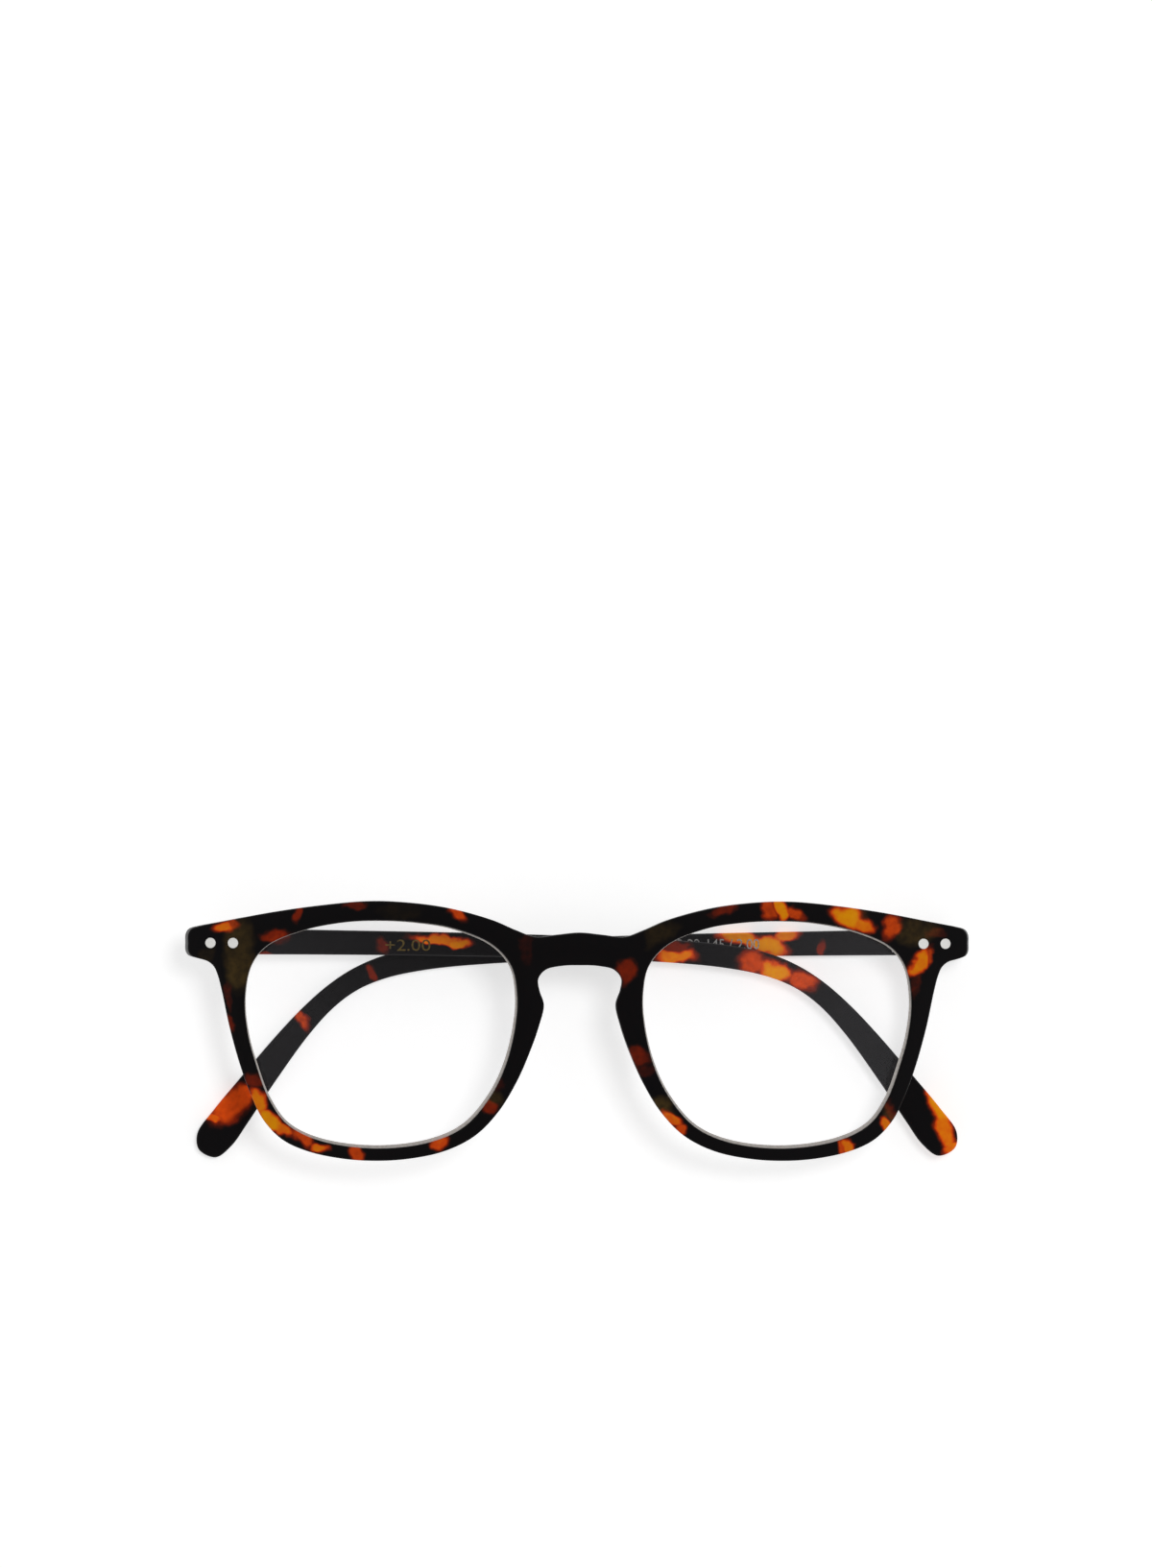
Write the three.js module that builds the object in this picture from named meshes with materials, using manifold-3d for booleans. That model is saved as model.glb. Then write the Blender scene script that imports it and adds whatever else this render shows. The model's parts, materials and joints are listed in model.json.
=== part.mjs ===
// Folding reading glasses, folded, lying on the outer face of the left temple.
// Millimetres. +X runs from the wearer's right lens to the left lens, +Y towards the brow,
// +Z up, away from the surface the glasses lie on. The origin is the bottom centre of the box
// around the folded glasses. The front is drawn in its own flat frame, bowed, and then tilted.
import * as THREE from 'three';
import { mergeVertices } from 'three/addons/utils/BufferGeometryUtils.js';
import Module from 'manifold-3d';

const wasm = await Module();
wasm.setup();

// Driving dimensions
const BOW_RADIUS = 310;           // faceform: radius of the front's curve seen from above the brow
const FRONT_THICKNESS = 3.8;
const END_FACE_Z = -12.1;         // flat rear face of both endpieces, the front's middle being at 0
const ENDPIECE_INNER_X = 59.9;
const ENDPIECE_LOW_Y = 11.2;
const END_LEAN = 0.15;            // the end walls lean out to the rear by this share of the depth
const END_LEAN_FROM = 66;         // and the lean fades to nothing at this distance from the middle
const LENS_SETBACK = 0.9;         // from the front face of the rim to the front of the lens
const LENS_THICKNESS = 2.0;
const LENS_BITE = 0.6;            // how far the lens edge runs into its groove
const GAP = 0.05;                 // clearance left all round a fitted piece
const CUT = 1;                    // how far a cutting solid runs past the face it cuts

const HINGE_X = 64.5;
const HINGE_Y = 15.45;
const AXIS_BEHIND_END = 3.5;      // hinge axis behind the endpiece's rear face
const INNER_FACE = -1.0;          // temple inner face, from the hinge axis
const OUTER_FACE = -4.4;
const BUTT = -3.37;               // temple butt, from the hinge axis
const BUTT_RELIEF = -1.75;        // floor of the step in the butt that clears the hinge ears
const REAR_TILT = THREE.MathUtils.degToRad(2.3);      // front raised on the wearer's right
const RIGHT_PAST = THREE.MathUtils.degToRad(-1.2);    // right temple folded past square
const RIGHT_LIFT = THREE.MathUtils.degToRad(0.07);    // tips set slightly high or low, in the
const LEFT_LIFT = THREE.MathUtils.degToRad(-0.22);    // temple's own plane
const OPEN_SPLAY = THREE.MathUtils.degToRad(4.8);     // temples splay outward when open

const PLATE = { inner: 4.4, outer: 2.6, halfHeight: 2.1, thickness: 0.7 };
const EAR = { radius: 1.3, near: 1.15, far: 2.05 };
const PIN_RADIUS = 0.55;
const PIN_HEAD = { radius: 1.0, height: 0.5, slotWidth: 0.28, slotDepth: 0.25 };
const RIVET = { headRadius: 0.925, headDepth: 0.7, shankRadius: 0.6, y: -0.05, at: [-1.1, 2.9] };
const CASE = { start: 1.9, end: 7.8, halfHeight: 1.7, floor: -2.5, top: 0.35, wall: 1.0 };
const BORE = { half: 0.95, rod: -0.95 };              // spring chamber and the rod's height in it
const ROD = { radius: 0.4, end: 6.9, collarLength: 0.8, collarRadius: 0.85 };
const SPRING = { wire: 0.13, radius: 0.63, turns: 6, stepsPerTurn: 12, wireSides: 5 };
const TONGUE_END = 1.75;

const ROUND = 24;                 // sides of a round piece
const TORTOISE = 0x1c0d07;

// Outlines. Each list runs round one side and is smoothed by a curve through its points.
const HALF_FRONT = [
  [0, 17.4], [4.2, 17.0], [7.9, 16.65], [11.4, 17.85], [15.5, 19.6], [23.7, 21.8], [32, 22.8],
  [38, 22.9], [46, 22.15], [54.6, 20.9], [62.8, 19.33], [67.3, 18.43], [68.9, 17.88],
  [69.5, 16.95], [69.56, 15.4], [69.5, 13.9], [69.0, 13.12], [67.8, 12.65], [66.1, 12.13],
  [65.0, 11.2], [64.35, 9.8], [63.6, 7.0], [62.2, 0.5], [60.3, -6.3], [58.4, -11.5],
  [56.1, -16.1], [52.8, -19.5], [48.5, -21.5], [42.5, -22.8], [36.5, -23.2], [30.2, -22.8],
  [23.9, -21.4], [18.6, -18.7], [14.5, -14.5], [11.2, -9.1], [8.8, -3.6], [7.3, 0.7],
  [6.4, 4.6], [7.2, 7.2], [7.4, 9.2], [6.1, 10.8], [3.2, 11.5], [0, 11.62],
];
const LENS_OPENING = [
  [35.2, 19.5], [42, 19.15], [49.5, 17.6], [55.6, 14.9], [58.3, 11.5], [59.45, 5.6],
  [58.9, -0.8], [57.4, -6.3], [55.2, -12.2], [52, -16.7], [46.5, -19.55], [36.4, -21.0],
  [26.4, -19.8], [20.4, -17.0], [15.9, -11.8], [13.1, -6.0], [11.4, 1.2], [11.15, 6.5],
  [12.2, 11.5], [15.6, 15.3], [22.5, 18.15], [28.5, 19.15],
];
const TEMPLE_LOWER = [
  [20, 13.1], [50, 12.75], [80, 11.75], [92, 10.6], [99, 9.1], [104, 7.0], [108.2, 3.9],
  [112.6, -0.9], [118.9, -9.6], [123.7, -16.8], [126.7, -21.0],
];
const TEMPLE_TIP = [[129.5, -23.0], [132.5, -21.6], [132.8, -18.7]];
const TEMPLE_UPPER = [
  [129.8, -14.4], [125.3, -9.0], [118.9, -1.5], [113.6, 4.1], [108.9, 8.2], [104.2, 11.2],
  [98.4, 13.5], [90, 15.0], [80, 15.8], [50, 16.9], [20, 17.5],
];
const BUTT_LOW = 13.15;
const BUTT_HIGH = 17.9;

// Solids and meshes

function solid(geometry) {
  const bare = geometry.clone();
  bare.deleteAttribute('normal');
  bare.deleteAttribute('uv');
  const merged = mergeVertices(bare, 1e-4);
  return new wasm.Manifold(new wasm.Mesh({
    numProp: 3,
    vertProperties: new Float32Array(merged.attributes.position.array),
    triVerts: new Uint32Array(merged.index.array),
  }));
}

function geometryOf(manifold) {
  const mesh = manifold.getMesh();
  const geometry = new THREE.BufferGeometry();
  geometry.setAttribute('position', new THREE.BufferAttribute(mesh.vertProperties, 3));
  geometry.setIndex(new THREE.BufferAttribute(mesh.triVerts, 1));
  geometry.computeVertexNormals();
  return geometry;
}

function mirroredX(geometry) {
  const flipped = geometry.index ? geometry.clone() : mergeVertices(geometry);
  flipped.applyMatrix4(new THREE.Matrix4().makeScale(-1, 1, 1));
  const index = flipped.index.array;
  for (let i = 0; i < index.length; i += 3) {
    [index[i], index[i + 1]] = [index[i + 1], index[i]];
  }
  return flipped;
}

function polygon(points) {
  return new THREE.Shape(points.map(([x, y]) => new THREE.Vector2(x, y)));
}

// Prism of an outline in X and Y, from z = low to z = high.
function prismZ(shape, low, high) {
  const geometry = new THREE.ExtrudeGeometry(shape, { depth: high - low, bevelEnabled: false });
  return geometry.translate(0, 0, low);
}

// Prism of an outline in X and Z, from y = low to y = high.
function prismY(shape, low, high) {
  const geometry = new THREE.ExtrudeGeometry(shape, { depth: high - low, bevelEnabled: false });
  return geometry.rotateX(Math.PI / 2).translate(0, high, 0);
}

function boxBetween([x0, y0, z0], [x1, y1, z1]) {
  const geometry = new THREE.BoxGeometry(x1 - x0, y1 - y0, z1 - z0);
  return geometry.translate((x0 + x1) / 2, (y0 + y1) / 2, (z0 + z1) / 2);
}

function rodAlongX(radius, from, to, y, z, sides = ROUND) {
  const geometry = new THREE.CylinderGeometry(radius, radius, to - from, sides);
  return geometry.rotateZ(Math.PI / 2).translate((from + to) / 2, y, z);
}

function rodAlongY(radius, from, to, sides = ROUND) {
  const geometry = new THREE.CylinderGeometry(radius, radius, to - from, sides);
  return geometry.translate(0, (from + to) / 2, 0);
}

function rodAlongZ(radius, from, to, x, y, sides = ROUND) {
  const geometry = new THREE.CylinderGeometry(radius, radius, to - from, sides);
  return geometry.rotateX(Math.PI / 2).translate(x, y, (from + to) / 2);
}

// Outlines

function smoothLoop(points, perSpan) {
  const knots = points.map(([x, y]) => new THREE.Vector3(x, y, 0));
  const curve = new THREE.CatmullRomCurve3(knots, true, 'centripetal');
  return curve.getPoints(points.length * perSpan).slice(0, -1).map((p) => [p.x, p.y]);
}

function smoothRun(points, perSpan) {
  const knots = points.map(([x, y]) => new THREE.Vector3(x, y, 0));
  const curve = new THREE.CatmullRomCurve3(knots, false, 'centripetal');
  return curve.getPoints((points.length - 1) * perSpan).map((p) => [p.x, p.y]);
}

// The same loop moved outward by a distance, for a loop that runs clockwise.
function grown(loop, distance) {
  return loop.map(([x, y], i) => {
    const [ax, ay] = loop[(i + loop.length - 1) % loop.length];
    const [bx, by] = loop[(i + 1) % loop.length];
    const length = Math.hypot(bx - ax, by - ay);
    return [x - (by - ay) / length * distance, y + (bx - ax) / length * distance];
  });
}

function frontOutline() {
  const left = HALF_FRONT.slice(1, -1).reverse().map(([x, y]) => [-x, y]);
  return polygon(smoothLoop([...HALF_FRONT, ...left], 2));
}

function lensOutline(growth) {
  return polygon(grown(smoothLoop(LENS_OPENING, 3), growth));
}

const bowZ = (x) => -x * x / (2 * BOW_RADIUS);

// A bowed plate between two depths behind the front face, for cutting an outline from.
function bowedPlate(fromX, toX, nearDepth, farDepth) {
  const steps = Math.round((toX - fromX) / 5);
  const xs = Array.from({ length: steps + 1 }, (_, i) => fromX + (toX - fromX) * i / steps);
  const near = xs.map((x) => [x, bowZ(x) - nearDepth]);
  const far = xs.map((x) => [x, bowZ(x) - farDepth]).reverse();
  return solid(prismY(polygon([...near, ...far]), -30, 30));
}

// Front

function endpiece(outline) {
  const near = [59.9, 63, 66.5, 71].map((x) => [x, bowZ(x)]);
  const rear = [[71, END_FACE_Z], [ENDPIECE_INNER_X, END_FACE_Z]];
  const block = solid(prismY(polygon([...near, ...rear]), ENDPIECE_LOW_Y, 30)).intersect(outline);
  return block.warp((v) => {
    const share = Math.min(Math.max((v[0] - END_LEAN_FROM) / 3, 0), 1);
    v[0] += END_LEAN * share * (bowZ(v[0]) - v[2]);
  });
}

function nosePad(outline) {
  const pad = new THREE.SphereGeometry(1, 18, 12);
  pad.scale(1.9, 6.6, 4.6);
  pad.rotateY(THREE.MathUtils.degToRad(-24));
  pad.rotateZ(THREE.MathUtils.degToRad(20));
  pad.translate(9.9, -1.8, -4.4);
  const behind = solid(boxBetween([0, -30, -20], [30, 30, -1]));
  return solid(pad).intersect(outline).intersect(behind);
}

function platePocket() {
  const low = HINGE_Y - PLATE.halfHeight - GAP;
  const high = HINGE_Y + PLATE.halfHeight + GAP;
  const inner = HINGE_X - PLATE.inner - GAP;
  const outer = HINGE_X + PLATE.outer + GAP;
  const depth = END_FACE_Z + PLATE.thickness + GAP;
  return solid(boxBetween([inner, low, END_FACE_Z - CUT], [outer, high, depth]));
}

const rivetX = (offset) => HINGE_X - offset;
const rivetFrontZ = (offset) => bowZ(rivetX(offset)) - 0.02;

function rivetHole(offset) {
  const x = rivetX(offset);
  const y = HINGE_Y + RIVET.y;
  const step = rivetFrontZ(offset) - RIVET.headDepth - GAP;
  const shank = solid(rodAlongZ(RIVET.shankRadius + GAP, END_FACE_Z - CUT, step + CUT / 2, x, y));
  return shank.add(solid(rodAlongZ(RIVET.headRadius + GAP, step, CUT, x, y)));
}

function frontSide(outline) {
  const opening = solid(prismZ(lensOutline(0), -30, 30));
  const grooveNear = LENS_SETBACK - GAP;
  const grooveFar = LENS_SETBACK + LENS_THICKNESS + GAP;
  const groove = bowedPlate(0, 72, grooveNear, grooveFar)
    .intersect(solid(prismZ(lensOutline(LENS_BITE + GAP), -30, 30)));
  let side = bowedPlate(0, 72, 0, FRONT_THICKNESS).intersect(outline);
  side = side.add(endpiece(outline)).add(nosePad(outline));
  side = side.subtract(opening).subtract(groove).subtract(platePocket());
  return RIVET.at.reduce((body, offset) => body.subtract(rivetHole(offset)), side);
}

function frontFrame() {
  const side = frontSide(solid(prismZ(frontOutline(), -30, 30)));
  return geometryOf(side.add(solid(mirroredX(geometryOf(side)))));
}

function lens() {
  const edge = solid(prismZ(lensOutline(LENS_BITE), -30, 30));
  const plate = bowedPlate(8, 64, LENS_SETBACK, LENS_SETBACK + LENS_THICKNESS);
  return geometryOf(plate.intersect(edge));
}

// Hinge. Its pieces are drawn about the hinge axis: X along the folded temple, Z to the front.

function rivet(offset) {
  const x = -offset;
  const front = rivetFrontZ(offset) - (END_FACE_Z - AXIS_BEHIND_END);
  const shankFrom = AXIS_BEHIND_END;
  const shankTo = front - RIVET.headDepth + 0.1;
  const shank = solid(rodAlongZ(RIVET.shankRadius, shankFrom, shankTo, 0, RIVET.y));
  const head = solid(rodAlongZ(RIVET.headRadius, front - RIVET.headDepth, front, 0, RIVET.y));
  return geometryOf(shank.add(head)).translate(-x, 0, 0);
}

function eyeOutline(radius, reach) {
  const shape = new THREE.Shape();
  shape.moveTo(radius, reach);
  shape.lineTo(radius, 0);
  shape.absarc(0, 0, radius, 0, -Math.PI, true);
  shape.lineTo(-radius, reach);
  return shape;
}

function frontPlate() {
  const rear = AXIS_BEHIND_END;
  const near = rear + PLATE.thickness;
  const half = PLATE.halfHeight;
  let plate = solid(boxBetween([-PLATE.outer, -half, rear], [PLATE.inner, half, near]));
  for (const [low, high] of [[EAR.near, EAR.far], [-EAR.far, -EAR.near]]) {
    plate = plate.add(solid(prismY(eyeOutline(EAR.radius, rear + 0.3), low, high)));
  }
  plate = plate.subtract(solid(rodAlongY(PIN_RADIUS + GAP, -half - CUT, half + CUT)));
  for (const offset of RIVET.at) {
    const hole = rodAlongZ(RIVET.shankRadius + GAP, rear - CUT, near + CUT, offset, RIVET.y);
    plate = plate.subtract(solid(hole));
  }
  return geometryOf(plate);
}

function screw() {
  const top = EAR.far + 0.02;
  const shank = solid(rodAlongY(PIN_RADIUS, -EAR.far, top + PIN_HEAD.height / 2));
  const head = solid(rodAlongY(PIN_HEAD.radius, top, top + PIN_HEAD.height));
  const slotFloor = top + PIN_HEAD.height - PIN_HEAD.slotDepth;
  const half = PIN_HEAD.slotWidth / 2;
  const slot = boxBetween([-2, slotFloor, -half], [2, slotFloor + CUT, half]);
  return geometryOf(shank.add(head).subtract(solid(slot)));
}

function slider() {
  const half = EAR.near - 0.1;
  const eye = solid(rodAlongY(EAR.radius, -half, half));
  const tongue = solid(boxBetween([0, -0.8, -1.3], [TONGUE_END, 0.8, -0.5]));
  const rod = solid(rodAlongX(ROD.radius, TONGUE_END - 0.4, ROD.end, 0, BORE.rod));
  const body = eye.add(tongue).add(rod);
  return geometryOf(body.subtract(solid(rodAlongY(PIN_RADIUS + GAP, -half - CUT, half + CUT))));
}

function collar() {
  const from = ROD.end - ROD.collarLength;
  const ring = solid(rodAlongX(ROD.collarRadius, from, ROD.end, 0, BORE.rod));
  const hole = solid(rodAlongX(ROD.radius + GAP, from - CUT, ROD.end + CUT, 0, BORE.rod));
  return geometryOf(ring.subtract(hole));
}

function hingeCase() {
  const { start, end, halfHeight, floor, top, wall } = CASE;
  const shell = solid(boxBetween([start, -halfHeight, floor], [end, halfHeight, top]));
  const low = BORE.rod - BORE.half;
  const high = BORE.rod + BORE.half;
  const chamber = boxBetween([start + wall, -BORE.half, low], [end + CUT, BORE.half, high]);
  const hole = rodAlongX(ROD.radius + GAP, start - CUT, start + wall + CUT, 0, BORE.rod);
  return geometryOf(shell.subtract(solid(chamber)).subtract(solid(hole)));
}

class Helix extends THREE.Curve {
  constructor(from, to, radius, turns) {
    super();
    Object.assign(this, { from, to, radius, turns });
  }

  getPoint(t, target = new THREE.Vector3()) {
    const angle = 2 * Math.PI * this.turns * t;
    const x = this.from + (this.to - this.from) * t;
    return target.set(x, this.radius * Math.cos(angle), this.radius * Math.sin(angle));
  }
}

function spring() {
  const from = CASE.start + CASE.wall + SPRING.wire + GAP;
  const to = ROD.end - ROD.collarLength - SPRING.wire - GAP;
  const wire = polygon(Array.from({ length: SPRING.wireSides }, (_, i) => {
    const angle = 2 * Math.PI * i / SPRING.wireSides;
    return [SPRING.wire * Math.cos(angle), SPRING.wire * Math.sin(angle)];
  }));
  const extrudePath = new Helix(from, to, SPRING.radius, SPRING.turns);
  const steps = SPRING.stepsPerTurn * SPRING.turns;
  const coil = new THREE.ExtrudeGeometry(wire, { steps, bevelEnabled: false, extrudePath });
  return mergeVertices(coil.translate(0, 0, BORE.rod), 1e-5);
}

// Temple, about the hinge axis like the hinge

function templeOutline() {
  const grip = [...TEMPLE_LOWER, ...TEMPLE_TIP, ...TEMPLE_UPPER];
  const run = smoothRun([[BUTT, BUTT_LOW], ...grip, [BUTT, BUTT_HIGH]], 3);
  return polygon(run.map(([x, y]) => [x, y - HINGE_Y]));
}

// The temple seen from above the brow: thick and mitred at the butt, thin at the bend.
function templeSection() {
  const mitre = (INNER_FACE - OUTER_FACE) * Math.tan(OPEN_SPLAY);
  return polygon([
    [BUTT, INNER_FACE], [BUTT + mitre, OUTER_FACE], [140, OUTER_FACE], [140, -1.8],
    [100, -2.2], [14, INNER_FACE],
  ]);
}

function temple() {
  const body = solid(prismZ(templeOutline(), -10, 10))
    .intersect(solid(prismY(templeSection(), -60, 30)));
  const half = CASE.halfHeight + GAP;
  const relief = boxBetween([BUTT - CUT, -10, BUTT_RELIEF], [CASE.start, 10, CUT]);
  const pocketFloor = CASE.floor - GAP;
  const pocket = boxBetween([CASE.start - GAP, -half, pocketFloor], [CASE.end + GAP, half, CUT]);
  return geometryOf(body.subtract(solid(relief)).subtract(solid(pocket)));
}

// Materials

function material(color, roughness, metalness, opacity = 1) {
  return new THREE.MeshStandardMaterial({
    color, roughness, metalness, opacity, transparent: opacity < 1,
  });
}

const looks = {
  tortoise: () => material(TORTOISE, 0.5, 0),
  lens: () => material(0xf4f8fa, 0.03, 0, 0.2),
  rivet: () => material(0xd8dadd, 0.35, 1),
  plate: () => material(0xb9bcc0, 0.35, 1),
  steel: () => material(0xaab0b6, 0.3, 1),
};

function addMesh(parent, name, geometry, look) {
  const mesh = new THREE.Mesh(geometry, looks[look]());
  mesh.name = name;
  parent.add(mesh);
}

// Assembly

const glasses = new THREE.Group();
const front = new THREE.Group();
front.rotation.y = REAR_TILT;
glasses.add(front);
addMesh(front, 'front_frame', frontFrame(), 'tortoise');

const sides = [
  { name: 'right', mirror: false, fold: RIGHT_PAST, turn: RIGHT_LIFT },
  { name: 'left', mirror: true, fold: -REAR_TILT, turn: -LEFT_LIFT },
];

for (const { name, mirror, fold, turn } of sides) {
  const placed = (geometry) => (mirror ? mirroredX(geometry) : geometry);
  addMesh(front, `lens_${name}`, mirror ? lens() : mirroredX(lens()), 'lens');

  const hinge = new THREE.Group();
  hinge.position.set(mirror ? HINGE_X : -HINGE_X, HINGE_Y, END_FACE_Z - AXIS_BEHIND_END);
  front.add(hinge);
  addMesh(hinge, `hinge_front_plate_${name}`, placed(frontPlate()), 'plate');
  addMesh(hinge, `rivet_outer_${name}`, placed(rivet(RIVET.at[0])), 'rivet');
  addMesh(hinge, `rivet_inner_${name}`, placed(rivet(RIVET.at[1])), 'rivet');
  addMesh(hinge, `hinge_screw_${name}`, placed(screw()), 'steel');

  const arm = new THREE.Group();
  arm.rotation.set(0, fold, turn, 'YXZ');
  hinge.add(arm);
  addMesh(arm, `temple_${name}`, placed(temple()), 'tortoise');
  addMesh(arm, `hinge_case_${name}`, placed(hingeCase()), 'plate');
  addMesh(arm, `hinge_slider_${name}`, placed(slider()), 'steel');
  addMesh(arm, `hinge_spring_${name}`, placed(spring()), 'steel');
  addMesh(arm, `hinge_spring_collar_${name}`, placed(collar()), 'steel');
}

const box = new THREE.Box3().setFromObject(glasses, true);
const centre = box.getCenter(new THREE.Vector3());
front.position.set(-centre.x, -centre.y, -box.min.z);

export default glasses;
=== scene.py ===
"""Folding reading glasses with a tortoise front and temples, folded and lying on the left temple.

The CAD model is the frame. Every sub-part is rebuilt here with its real roundings and finish.
Shapes are worked out in millimetres: the front in its own flat frame (X to the left lens, Y to
the brow, Z to the viewer), each arm about its hinge axis (X along the folded temple).
"""

import json
import math

import bmesh
import bpy
import numpy as np
from mathutils import Matrix, Vector
from mathutils.geometry import delaunay_2d_cdt


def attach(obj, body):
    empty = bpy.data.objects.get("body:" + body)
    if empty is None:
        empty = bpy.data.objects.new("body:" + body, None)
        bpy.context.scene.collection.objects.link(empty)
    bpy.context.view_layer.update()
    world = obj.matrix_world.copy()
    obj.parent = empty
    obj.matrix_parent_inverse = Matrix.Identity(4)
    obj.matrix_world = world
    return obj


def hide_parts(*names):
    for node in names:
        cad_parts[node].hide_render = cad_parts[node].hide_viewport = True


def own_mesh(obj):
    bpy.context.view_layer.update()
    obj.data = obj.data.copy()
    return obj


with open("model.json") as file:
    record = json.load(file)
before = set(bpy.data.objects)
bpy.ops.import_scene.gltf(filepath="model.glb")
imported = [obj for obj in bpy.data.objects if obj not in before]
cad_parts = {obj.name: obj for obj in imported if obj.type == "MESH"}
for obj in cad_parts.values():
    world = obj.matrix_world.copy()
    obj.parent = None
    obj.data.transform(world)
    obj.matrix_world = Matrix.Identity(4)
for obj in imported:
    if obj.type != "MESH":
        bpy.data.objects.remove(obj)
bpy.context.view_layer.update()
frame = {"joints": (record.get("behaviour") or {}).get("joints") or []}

MM = 0.001

# Driving dimensions, in millimetres, as in the CAD source
BOW_RADIUS = 310.0
FRONT_THICKNESS = 3.8
END_FACE_Z = -12.1
ENDPIECE_INNER_X = 59.9
ENDPIECE_LOW_Y = 11.2
END_LEAN = 0.15
END_LEAN_FROM = 66.0
LENS_SETBACK = 0.9
LENS_THICKNESS = 2.0
LENS_BITE = 0.6
GAP = 0.05
CUT = 1.0
HINGE_X = 64.5
HINGE_Y = 15.45
AXIS_BEHIND_END = 3.5
INNER_FACE = -1.0
OUTER_FACE = -4.4
BUTT = -3.37
BUTT_RELIEF = -1.75
OPEN_SPLAY = math.radians(4.8)
PLATE = {"inner": 4.4, "outer": 2.6, "half": 2.1, "thickness": 0.7}
EAR = {"radius": 1.3, "near": 1.15, "far": 2.05}
PIN_RADIUS = 0.55
PIN_HEAD = {"radius": 1.0, "height": 0.5, "slot_width": 0.28, "slot_depth": 0.25}
RIVET = {"head_radius": 0.925, "head_depth": 0.7, "shank_radius": 0.6, "y": -0.05}
RIVETS = {"outer": -1.1, "inner": 2.9}
CASE = {"start": 1.9, "end": 7.8, "half": 1.7, "floor": -2.5, "top": 0.35, "wall": 1.0}
BORE = {"half": 0.95, "rod": -0.95}
ROD = {"radius": 0.4, "end": 6.9, "collar_length": 0.8, "collar_radius": 0.85}
SPRING = {"wire": 0.13, "radius": 0.63, "turns": 6}
TONGUE_END = 1.75
NOSE_PAD = {
    "centre": (9.9, -1.8, -4.4), "axes": (1.9, 6.6, 4.6),
    "turn": math.radians(20), "lean": math.radians(-24),
}
PAD_MELT = 0.5                 # width of the blend between a pad and the rim

# Finer dimensions that only the looks need
OUTER_ROUND = (0.3, 0.6)       # edge radius of the front at its outline, face and back
INNER_ROUND = (0.25, 0.4)      # the same round the lens openings
TEMPLE_ROUND = (0.45, 0.7)
BUTT_CORNER = 0.95             # radius of the two corners of a temple at its butt
CROWN = 0.22                   # how far the face falls away over the last stretch to its outline
CROWN_REACH = 2.4
FILLET = 1.6                   # width of the blend between the rim and the endpiece's block
RIM_STEP = 0.45                # spacing of points along an outline
GRID_STEP = 0.75               # and inside it
CREASE = math.radians(32)      # edges bent further than this stay sharp

HALF_FRONT = [
    (0, 17.4), (4.2, 17.0), (7.9, 16.65), (11.4, 17.85), (15.5, 19.6), (23.7, 21.8), (32, 22.8),
    (38, 22.9), (46, 22.15), (54.6, 20.9), (62.8, 19.33), (67.3, 18.43), (68.9, 17.88),
    (69.5, 16.95), (69.56, 15.4), (69.5, 13.9), (69.0, 13.12), (67.8, 12.65), (66.1, 12.13),
    (65.0, 11.2), (64.35, 9.8), (63.6, 7.0), (62.2, 0.5), (60.3, -6.3), (58.4, -11.5),
    (56.1, -16.1), (52.8, -19.5), (48.5, -21.5), (42.5, -22.8), (36.5, -23.2), (30.2, -22.8),
    (23.9, -21.4), (18.6, -18.7), (14.5, -14.5), (11.2, -9.1), (8.8, -3.6), (7.3, 0.7),
    (6.4, 4.6), (7.2, 7.2), (7.4, 9.2), (6.1, 10.8), (3.2, 11.5), (0, 11.62),
]
LENS_OPENING = [
    (35.2, 19.5), (42, 19.15), (49.5, 17.6), (55.6, 14.9), (58.3, 11.5), (59.45, 5.6),
    (58.9, -0.8), (57.4, -6.3), (55.2, -12.2), (52, -16.7), (46.5, -19.55), (36.4, -21.0),
    (26.4, -19.8), (20.4, -17.0), (15.9, -11.8), (13.1, -6.0), (11.4, 1.2), (11.15, 6.5),
    (12.2, 11.5), (15.6, 15.3), (22.5, 18.15), (28.5, 19.15),
]
TEMPLE_LOWER = [
    (20, 13.1), (50, 12.75), (80, 11.75), (92, 10.6), (99, 9.1), (104, 7.0), (108.2, 3.9),
    (112.6, -0.9), (118.9, -9.6), (123.7, -16.8), (126.7, -21.0),
]
TEMPLE_TIP = [(129.5, -23.0), (132.5, -21.6), (132.8, -18.7)]
TEMPLE_UPPER = [
    (129.8, -14.4), (125.3, -9.0), (118.9, -1.5), (113.6, 4.1), (108.9, 8.2), (104.2, 11.2),
    (98.4, 13.5), (90, 15.0), (80, 15.8), (50, 16.9), (20, 17.5),
]
BUTT_LOW = 13.15
BUTT_HIGH = 17.9


# Frames -------------------------------------------------------------------------------------

joints = {joint["name"]: joint for joint in frame["joints"]}
BROW = Vector((0, 1, 0))


def placed(x_axis, y_axis, z_axis, origin):
    home = Matrix((x_axis, y_axis, z_axis)).transposed().to_4x4()
    home.translation = origin
    return home


def front_home():
    right = Vector(joints["right_fold"]["pos_m"])
    left = Vector(joints["left_fold"]["pos_m"])
    across = (left - right).normalized()
    to_viewer = across.cross(BROW)
    middle = (left + right) / 2
    origin = middle - HINGE_Y * MM * BROW + (AXIS_BEHIND_END - END_FACE_Z) * MM * to_viewer
    return placed(across, BROW, to_viewer, origin)


def arm_home(side):
    """Frame of a folded arm. On the left its X axis points away from the tip, so that the frame
    stays right-handed, and the arm's shapes are mirrored in X."""
    along = Vector(joints[f"{side}_flex"]["axis"]).normalized()
    if side == "left":
        along = -along
    outward = along.cross(BROW).normalized()
    return placed(along, outward.cross(along), outward, Vector(joints[f"{side}_fold"]["pos_m"]))


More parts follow.
